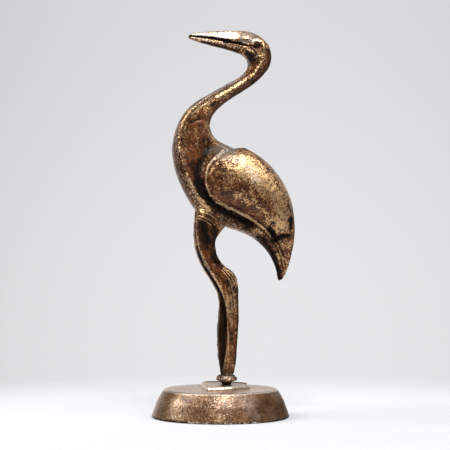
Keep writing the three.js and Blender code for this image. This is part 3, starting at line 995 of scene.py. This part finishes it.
def legStagger(heights):
    # how far the far leg stands forward of the near one at these heights
    rows = np.array(bird["legRibs"], float)[::-1]
    shift = np.interp(heights, rows[:, 1], rows[:, 6])
    return np.where(heights < bird["staggerBelow"], shift, 0)


def birdView(spots):
    seen = sideView(spots)
    seen[:, 0] += np.where(spots[:, 1] > 0, legStagger(spots[:, 2]), 0)
    return seen


def facing(spots, ways, name):
    # 1 where the surface looks that way from the bird's middle plane
    return ease(ways[:, 1] * np.sign(spots[:, 1]), *bird[name])


def refineNearCuts(piece):
    # the mesh is halved near the cuts, so that a narrow one has enough points
    seen = birdView(readPoints(piece))
    near = np.zeros(len(seen), bool)
    for row in bird["cuts"]:
        near |= nearLine(seen, row[-1])[0] < bird["refineWithin"]
    corners = np.empty(len(piece.data.loops), np.int32)
    piece.data.loops.foreach_get("vertex_index", corners)
    first = np.empty(len(piece.data.polygons), np.int32)
    piece.data.polygons.foreach_get("loop_start", first)
    pick(piece)
    bpy.ops.object.mode_set(mode="EDIT")
    bpy.ops.mesh.select_mode(type="FACE")
    bpy.ops.mesh.select_all(action="DESELECT")
    bpy.ops.object.mode_set(mode="OBJECT")
    piece.data.polygons.foreach_set("select", near[corners[first]])
    bpy.ops.object.mode_set(mode="EDIT")
    bpy.ops.mesh.subdivide(number_cuts=1)
    bpy.ops.object.mode_set(mode="OBJECT")
    print("bird refined", len(piece.data.polygons))


def carve(spots, ways, seen, weight):
    # crests that meet run on into each other, and so do grooves; soft cuts add up
    crest = np.zeros(len(spots))
    flank = np.zeros(len(spots))
    groove = np.zeros(len(spots))
    soft = np.zeros(len(spots))
    dipPlace, dipWidth, dipDepth = bird["crestDip"]
    for kind, start, end, lift, line in bird["cuts"]:
        away, along = nearLine(seen, line)
        share = away / blendTo(start, end, along)
        if kind == "crest":
            crest = np.maximum(crest, lift * np.clip(1 - share, 0, 1))
            dip = np.exp(-(((share - dipPlace) / dipWidth) ** 2))
            flank = np.maximum(flank, dipDepth * lift * dip)
        elif kind == "groove":
            groove = np.minimum(groove, lift * np.clip(1 - share, 0, 1))
        else:
            soft += lift * np.exp(-share * share)
    flank *= 1 - np.clip(crest * 8, 0, 1)  # no dip where another crest stands
    size, seed, uneven = bird["crestWander"]
    crest *= 1 + uneven * roughField(spots, size, seed, 2)
    return spots + ways * ((crest - flank + groove + soft) * weight)[:, None]


def carveBird(piece):
    refineNearCuts(piece)
    spots = readPoints(piece)
    edges = readEdges(piece)
    seen = birdView(spots)
    ways = evenOut(readNormals(piece), edges, 3)
    weight = evenOut(facing(spots, ways, "outward"), edges, 8)
    spots = carve(spots, ways, seen, weight)

    away = np.hypot(*(seen - bird["eye"]["place"]).T)
    radius, lift = bird["eye"]["ball"]
    ball = lift * np.clip(1 - (away / radius) ** 2, 0, 1)
    radius, width, depth = bird["eye"]["ring"]
    ring = depth * np.exp(-(((away - radius) / width) ** 2))
    spots += ways * ((ball - ring) * weight)[:, None]

    low, high, calm = bird["smoothHead"]
    addLumps(spots, ways, bird["lumps"], 1 - ease(spots[:, 2], low, high) * calm)
    upper, lower = bird["footHeights"]
    foot = ease(spots[:, 2], *upper) * ease(spots[:, 2], *lower)
    addLumps(spots, ways, bird["footLumps"], foot)
    writePoints(piece, spots)

    count = sum(len(face.vertices) - 2 for face in piece.data.polygons)
    applyModifier(piece, "DECIMATE", ratio=min(1, bird["triangles"] / count))
    print("bird carved", len(piece.data.polygons))


def paintBird(piece):
    spots = readPoints(piece)
    ways = readNormals(piece)
    seen = birdView(spots)
    ragged = tornEdges(spots, 11)

    def onCuts(what, width, strength):
        rows = [
            (start * width, end * width, strength, line)
            for kind, start, end, lift, line in bird["cuts"] if kind == what
        ]
        return strokeMask(seen, 0.5 * ragged, rows)

    masks = {kind: strokeMask(seen, ragged, bird[kind]) for kind in paintKit["kinds"]}
    crests = onCuts("crest", *bird["crestWear"])
    raiseMask(masks, "rubbed", crests)
    # the grooves are made darker
    raiseMask(masks, "grime", onCuts("groove", *bird["grooveDarkening"]))
    masks["grime"] *= 1 - bird["crestClean"] * crests
    flaws = strokeMask(seen, ragged, bird["wingFlaws"]) * ease(-spots[:, 1], *bird["nearWing"])
    raiseMask(masks, "grime", flaws)
    outer = facing(spots, ways, "outward")
    inner = facing(spots, ways, "inward")
    for kind in ("polish", "rubbed", "slate"):
        masks[kind] *= outer
    upper, lower, gapShade = bird["legGapShade"]
    legs = ease(spots[:, 2], *upper) * ease(spots[:, 2], *lower)
    masks["glint"] *= 1 - inner
    # painted shade on the inner sides of the legs
    raiseMask(masks, "grime", gapShade * inner * legs)
    setMasks(piece, masks)
    print("bird painted")


crane = makeBird()
carveBird(crane)
pick(crane)
bpy.ops.object.shade_smooth()
paintBird(crane)
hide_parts("crane")
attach(crane, "root")

base = makePlinth()
pick(base)
bpy.ops.object.shade_smooth()
paintPlinth(base)
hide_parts("plinth")
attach(base, "root")


# Finishes: worn brass under a brown skin of age, with painted highlights, sheen and shade

class Signal:
    # one output of a material's nodes, with sums and products that add their own nodes
    def __init__(self, tree, socket=None):
        self.tree = tree
        self.socket = socket

    def make(self, kind, settings=None, inputs=None, output=0):
        node = self.tree.nodes.new(kind)
        for name, value in (settings or {}).items():
            if name == "stops":
                ramp = node.color_ramp
                while len(ramp.elements) < len(value):
                    ramp.elements.new(0.5)
                for element, (place, colour) in zip(ramp.elements, value):
                    element.position = place
                    element.color = colour if len(colour) == 4 else (*colour, 1)
            else:
                setattr(node, name, value)
        for name, value in (inputs or {}).items():
            if isinstance(value, Signal):
                self.tree.links.new(value.socket, node.inputs[name])
            else:
                node.inputs[name].default_value = value
        return Signal(self.tree, node.outputs[output])

    def reckon(self, operation, *values, clamp=False):
        settings = {"operation": operation, "use_clamp": clamp}
        return self.make("ShaderNodeMath", settings, dict(enumerate(values)))

    def __add__(self, other):
        return self.reckon("ADD", self, other)

    __radd__ = __add__

    def __sub__(self, other):
        return self.reckon("SUBTRACT", self, other)

    def __rsub__(self, other):
        return self.reckon("SUBTRACT", other, self)

    def __mul__(self, other):
        return self.reckon("MULTIPLY", self, other)

    __rmul__ = __mul__

    def clamped(self):
        return self.reckon("ADD", self, 0.0, clamp=True)

    def step(self, low, high):
        # eases from 0 at low to 1 at high
        inputs = {"Value": self, "From Min": low, "From Max": high}
        return self.make("ShaderNodeMapRange", {"interpolation_type": "SMOOTHSTEP"}, inputs)

    def blend(self, first, second):
        # from the first value at 0 to the second at 1
        return self.make("ShaderNodeMix", None, {0: self, 2: first, 3: second})

    def tint(self, first, second):
        # from the first colour at 0 to the second at 1
        inputs = {0: self, 6: first, 7: second}
        return self.make("ShaderNodeMix", {"data_type": "RGBA"}, inputs, output=2)


def rgb(red, green, blue):
    # a colour as seen on a screen, 0 to 255
    def linear(part):
        part /= 255
        return part / 12.92 if part <= 0.04045 else ((part + 0.055) / 1.055) ** 2.4

    return (linear(red), linear(green), linear(blue), 1)


birdFinish = {
    "patinaDark": rgb(40, 24, 14),
    "patinaRed": rgb(122, 70, 37),
    "bronze": rgb(142, 99, 57),
    "gold": rgb(216, 177, 128),
    "cream": rgb(240, 224, 208),
    "slate": rgb(136, 124, 114),
    "sootAndShade": rgb(14, 8, 5),
    # sizes of the patterns, in parts of a metre
    "speckScale": 2000.0,
    "pitScale": 1300.0,
    "mottleScale": 900.0,
    "blotchScale": 400.0,
    "cloudScale": 190.0,
    "stretch": 0.12,  # how slowly the streaks change along Z
    # how far each pattern wears the brown skin through
    "bareness": 0.42,
    "specks": 0.65,
    "mottle": 0.65,
    "blotches": 0.5,
    "clouds": 0.35,
    # values between which the bare metal, a bright point and so on come in
    "wornBetween": (0.22, 0.8),
    "pointBetween": (0.1, 0.7),
    "brightBetween": (0.25, 1.0),
    "greyBetween": (0.15, 1.1),
    "sootAndShadeBetween": (0.3, 0.95),
    "pitBetween": (0.14, 0.34),
    # roughness of the skin, the bare metal, the rubbed and highlighted metal, the black dirt and
    # painted shade, and the wax over all
    "roughness": (0.4, 0.38, 0.5, 0.8, 0.3),
    "skinMetallic": 0.45,
    "specular": 0.12,
    "edgeTint": rgb(250, 240, 228),
    "wax": 0.3,
    "bump": (0.5, 0.00012),
    "pits": 0.5,
}

plinthFinish = {
    **birdFinish,
    "patinaDark": rgb(66, 44, 29),
    "patinaRed": rgb(118, 82, 52),
    "bronze": rgb(112, 82, 54),
    "gold": rgb(168, 138, 106),
    "mottleScale": 1700.0,
    "pits": 0.2,
    "bareness": 0.34,
    "specks": 0.85,
    "mottle": 0.7,
    "blotches": 0.25,
    "clouds": 0.25,
    "wornBetween": (0.05, 0.95),
    "roughness": (0.34, 0.38, 0.3, 0.8, 0.25),
    "edgeTint": rgb(246, 226, 212),
    "wax": 0.5,
}


def agedBrass(name, look, seed):
    finish = bpy.data.materials.new(name)
    finish.use_nodes = True
    tree = finish.node_tree
    shader = tree.nodes["Principled BSDF"]
    start = Signal(tree)
    place = start.make("ShaderNodeTexCoord", output="Object")
    place = start.make("ShaderNodeMapping", None, {"Vector": place, "Location": (seed, 0, 0)})

    def cloud(scale, detail, rough, swirl=0.0, drawn=place):
        # a pattern that mostly lies between -1 and 1
        inputs = {"Vector": drawn, "Scale": look[scale], "Detail": detail, "Roughness": rough}
        inputs["Distortion"] = swirl
        return 4 * (start.make("ShaderNodeTexNoise", None, inputs) - 0.5)

    def mask(kind):
        return start.make("ShaderNodeAttribute", {"attribute_name": kind}, output="Fac")

    specks = cloud("speckScale", 1.0, 0.5)
    mottle = cloud("mottleScale", 4.0, 0.65, 0.8)
    blotches = cloud("blotchScale", 3.0, 0.6, 1.2)
    clouds = cloud("cloudScale", 4.0, 0.6)
    inputs = {"Vector": place, "Scale": look["pitScale"]}
    cells = start.make("ShaderNodeTexVoronoi", None, inputs)
    polish, rubbed, brown, slate, grain, glint, grime = (mask(kind) for kind in paintKit["kinds"])
    ridge = mask("ridge")
    hollow = mask("hollow")
    drawn = {"Vector": place, "Scale": (1, 1, look["stretch"])}
    drawn = start.make("ShaderNodeMapping", None, drawn)
    streaks = cloud("mottleScale", 3.0, 0.6, 0.0, drawn) * grain
    pits = 1 - (cells + 0.2 * mottle + 0.1 * specks).step(*look["pitBetween"])
    pits = pits * (1 - 0.8 * polish)

    calm = 1 - 0.6 * (polish + grain).clamped()
    fine = (look["specks"] * specks + look["mottle"] * mottle) * calm
    wide = (look["clouds"] * clouds + look["blotches"] * blotches) * calm
    points = (1.1 * specks + 0.5 * mottle).step(*look["pointBetween"]) * glint
    # the polish and rubbed masks, which carry painted highlights, bare the metal; the grime and
    # hollow masks, which carry painted shade, and the grey sheen keep the skin dark
    skin = look["bareness"] + wide + fine + 0.8 * polish + 0.6 * rubbed + 0.25 * ridge
    skin = skin - 0.9 * brown * (1 - 0.7 * rubbed) - grime - 0.4 * hollow - 0.3 * slate
    skin = skin + 1.3 * points - 0.5 * glint + 0.6 * streaks
    worn = skin.step(*look["wornBetween"]) * (1 - 0.8 * pits)
    # polished metal and painted highlights, with bright points, turn the metal towards cream
    bright = polish + 0.6 * points + 0.3 * mottle + 0.3 * specks + 0.2 * blotches
    bright = bright.step(*look["brightBetween"])
    shine = (0.35 + 0.5 * skin + 0.5 * specks + 0.4 * mottle + 0.3 * streaks).clamped()
    spotty = (0.25 * mottle + 0.25 * specks + look["pits"] * pits) * (1 - 0.6 * grain)
    # black dirt, and painted shade where the grime mask and the hollows darken the surface
    sootAndShade = grime + 0.45 * hollow + spotty - 0.2 * streaks - 0.1 * grain
    sootAndShade = sootAndShade.step(*look["sootAndShadeBetween"]) * (1 - 0.9 * points)

    patina = (0.5 + 0.4 * clouds + 0.6 * blotches + 0.55 * mottle + 0.12 * brown).clamped()
    patina = patina.tint(look["patinaDark"], look["patinaRed"])
    metal = bright.tint(shine.tint(look["bronze"], look["gold"]), look["cream"])
    # the painted grey sheen is tinted over the skin and the metal
    grey = 0.8 * (slate + 0.35 * mottle + 0.25 * blotches).step(*look["greyBetween"])
    colour = grey.tint(worn.tint(patina, metal), look["slate"])
    colour = sootAndShade.tint(colour, look["sootAndShade"])
    aged, bare, bared, sootAndShadeRough, waxed = look["roughness"]
    rough = bright.blend(worn.blend(aged, bare), bared)
    rough = sootAndShade.blend(rough, sootAndShadeRough) + 0.06 * specks + 0.06 * mottle
    metallic = worn.blend(look["skinMetallic"], 1.0) * (1 - 0.9 * sootAndShade)
    wax = look["wax"] * (1 - sootAndShade) * (1 - 0.5 * polish)
    height = 0.25 * specks + 0.25 * mottle - 0.5 * pits
    strength, distance = look["bump"]
    inputs = {"Strength": strength, "Distance": distance, "Height": height}
    bump = start.make("ShaderNodeBump", None, inputs)
    for name, value in (
        ("Base Color", colour),
        ("Roughness", rough),
        ("Metallic", metallic),
        ("Coat Weight", wax),
        ("Normal", bump),
    ):
        tree.links.new(value.socket, shader.inputs[name])
    shader.inputs["Coat Roughness"].default_value = waxed
    shader.inputs["Specular IOR Level"].default_value = look["specular"]
    shader.inputs["Specular Tint"].default_value = look["edgeTint"]
    return finish


crane.data.materials.clear()
crane.data.materials.append(agedBrass("birdBrass", birdFinish, 0.0))
base.data.materials.clear()
base.data.materials.append(agedBrass("plinthBrass", plinthFinish, 0.37))
print("finishes made")


# Studio: a pale floor that fades into the backdrop, soft lights and the camera

studio = {
    "lights": [
        # name, direction round from the camera, height in degrees, distance, size, power
        ("leftSoftbox", -83, 44, 0.9, 0.5, 5.5),
        ("frontTopSoftbox", 10, 55, 1.0, 0.5, 8.8),
        ("rightSoftbox", 66, 48, 0.9, 0.5, 2.6),
        ("rightFill", 98, 10, 0.9, 0.4, 0.45),
        ("backRightSoftbox", 142, 30, 0.9, 0.5, 0.6),
    ],
    "aim": (0, 0, 0.06),
    "floorRadius": 0.4,
    "floorColour": rgb(194, 194, 196),
    # the paper is painted lighter towards the back, painted light that evens out the lamps' falloff
    "floorBack": rgb(209, 209, 211),
    "floorBackBetween": (-0.12, 0.14),
    "floorMiddle": (0.012, -0.058, 0),
    "floorFade": (0.12, 0.3),
    "backdropLow": rgb(232, 231, 233),
    "backdropHigh": rgb(219, 218, 221),
    "backdropBetween": (-0.05, 0.25),
    # the backdrop darkens away from its middle: place of the middle, rate, most
    "backdropShade": (0.03, 2.8, 0.12),
    # light of the room that the brass reflects: all round, behind, above and below
    "roomLight": (0.03, 0.95, 0.7, 0.3),
    # parts of the view direction between which each begins
    "behind": (0.7, 0.97),
    "behindTop": (0.15, 0.5),
    "above": (0.55, 0.95),
    "below": (-0.2, 0.0),
    "roomColour": (1, 1, 1.03, 1),
}

clearSelection()
bpy.ops.mesh.primitive_circle_add(vertices=128, radius=studio["floorRadius"], fill_type="NGON")
floor = bpy.context.object
floor.name = "floor"
floorFinish = bpy.data.materials.new("floorPaper")
floorFinish.use_nodes = True
tree = floorFinish.node_tree
shader = tree.nodes["Principled BSDF"]
shader.inputs["Roughness"].default_value = 0.9
shader.inputs["Specular IOR Level"].default_value = 0.0
start = Signal(tree)
place = start.make("ShaderNodeTexCoord", output="Object")
inputs = {0: place, 1: studio["floorMiddle"]}
away = start.make("ShaderNodeVectorMath", {"operation": "DISTANCE"}, inputs, output=1)
wayBack = start.make("ShaderNodeSeparateXYZ", None, {0: place}, 1)
wayBack = wayBack.step(*studio["floorBackBetween"])
paper = wayBack.tint(studio["floorColour"], studio["floorBack"])
tree.links.new(paper.socket, shader.inputs["Base Color"])
shown = 1 - away.step(*studio["floorFade"])
tree.links.new(shown.socket, shader.inputs["Alpha"])
floor.data.materials.append(floorFinish)

for name, way, height, distance, size, power in studio["lights"]:
    rise = math.radians(height)
    flat = distance * math.cos(rise)
    turn = math.radians(way + camera["turn"])
    place = Vector((flat * math.sin(turn), -flat * math.cos(turn), distance * math.sin(rise)))
    bpy.ops.object.light_add(type="AREA", location=place)
    lamp = bpy.context.object
    lamp.name = name
    lamp.data.size = size
    lamp.data.energy = power
    lamp.rotation_euler = (Vector(studio["aim"]) - place).to_track_quat("-Z", "Y").to_euler()

black = (0, 0, 0, 1)
world = bpy.data.worlds.new("studio")
bpy.context.scene.world = world
world.use_nodes = True
tree = world.node_tree
start = Signal(tree)
way = start.make("ShaderNodeTexCoord", output="Generated")
wayX, wayY, wayZ = (start.make("ShaderNodeSeparateXYZ", None, {0: way}, k) for k in range(3))
middle, rate, most = studio["backdropShade"]
turn = math.radians(camera["turn"])
across = wayX * math.cos(turn) + wayY * math.sin(turn) - middle
shade = across * across * rate
shade = shade.reckon("MINIMUM", shade, most)
backdrop = wayZ.step(*studio["backdropBetween"])
backdrop = backdrop.tint(studio["backdropLow"], studio["backdropHigh"])
backdrop = shade.tint(backdrop, black)
behind = wayY.step(*studio["behind"]) * (1 - wayZ.step(*studio["behindTop"]))
above = wayZ.step(*studio["above"])
below = (1 - wayZ.step(*studio["below"])) * (1 - behind)
allRound, fromBehind, fromAbove, fromBelow = studio["roomLight"]
level = allRound + fromBehind * behind + fromAbove * above + fromBelow * below
room = level.tint(black, studio["roomColour"])
onCamera = start.make("ShaderNodeLightPath", output="Is Camera Ray")
sky = onCamera.tint(room, backdrop)
tree.links.new(sky.socket, tree.nodes["Background"].inputs["Color"])

bpy.ops.object.camera_add(location=Vector(camera["place"]) * mm)
eye = bpy.context.object
eye.rotation_euler = (math.radians(camera["pitch"]), 0, math.radians(camera["turn"]))
eye.data.lens = camera["lens"]
eye.data.sensor_width = camera["sensor"]
bpy.context.scene.camera = eye
bpy.context.scene.view_settings.view_transform = "Standard"
print("studio set")
